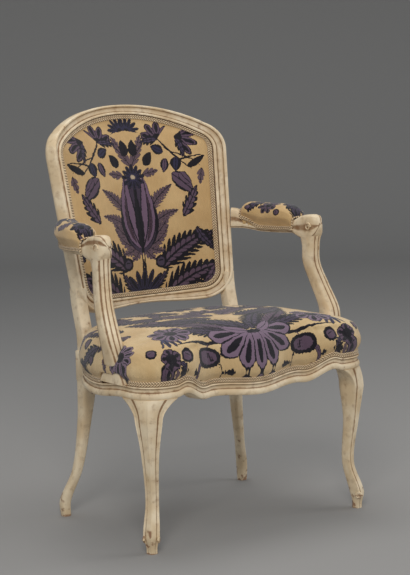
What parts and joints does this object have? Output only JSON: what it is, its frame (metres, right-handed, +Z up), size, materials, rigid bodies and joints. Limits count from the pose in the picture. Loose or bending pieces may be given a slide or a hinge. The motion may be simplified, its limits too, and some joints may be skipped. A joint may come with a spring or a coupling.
{
  "type": "fauteuil armchair",
  "caption": "Open upholstered armchair with a hollow moulded wooden back frame, padded arms on swept supports, a serpentine seat and curved legs.",
  "frame": {"origin": "on the floor, under the middle of the chair's overall width and depth", "axes": "+Z up, the sitter faces -Y, +X is the right side seen from the front"},
  "size_m": [0.6324, 0.5494, 0.8992],
  "materials": {
    "painted_wood": "aged cream paint over beech, brown in the hollows and rubbed at the edges",
    "plain_wood": "bare beech inside the joints",
    "tapestry": "woven floral cloth, ochre ground with plum and dark leaves",
    "outside_cloth": "plain woven ochre cloth",
    "braid": "beige woven braid with corded edges",
    "stuffing": "calico over curled hair",
    "hessian": "open jute cloth",
    "webbing": "tight jute webbing"
  },
  "bodies": {
    "root": {"crest_rail": "painted_wood", "back_bottom_rail": "painted_wood", "front_seat_rail": "painted_wood", "back_seat_rail": "painted_wood", "left_front_leg": "painted_wood", "right_front_leg": "painted_wood", "left_back_post": "painted_wood", "right_back_post": "painted_wood", "left_side_seat_rail": "painted_wood", "right_side_seat_rail": "painted_wood", "left_arm": "painted_wood", "right_arm": "painted_wood", "left_arm_support": "painted_wood", "right_arm_support": "painted_wood", "left_front_rail_peg": "plain_wood", "right_front_rail_peg": "plain_wood", "left_side_rail_front_peg": "plain_wood", "right_side_rail_front_peg": "plain_wood", "left_side_rail_rear_peg": "plain_wood", "right_side_rail_rear_peg": "plain_wood", "left_back_rail_peg": "plain_wood", "right_back_rail_peg": "plain_wood", "seat_cover": "tapestry", "inside_back_cover": "tapestry", "left_arm_cover": "tapestry", "right_arm_cover": "tapestry", "outside_back_cover": "outside_cloth", "seat_front_gimp": "braid", "seat_back_gimp": "braid", "inside_back_gimp": "braid", "outside_back_gimp": "braid", "left_seat_side_gimp": "braid", "right_seat_side_gimp": "braid", "left_arm_gimp": "braid", "right_arm_gimp": "braid", "seat_stuffing": "stuffing", "back_stuffing": "stuffing", "left_arm_stuffing": "stuffing", "right_arm_stuffing": "stuffing", "seat_hessian": "hessian", "back_hessian": "hessian", "seat_webbing": "webbing", "back_webbing": "webbing"}
  },
  "joints": []
}
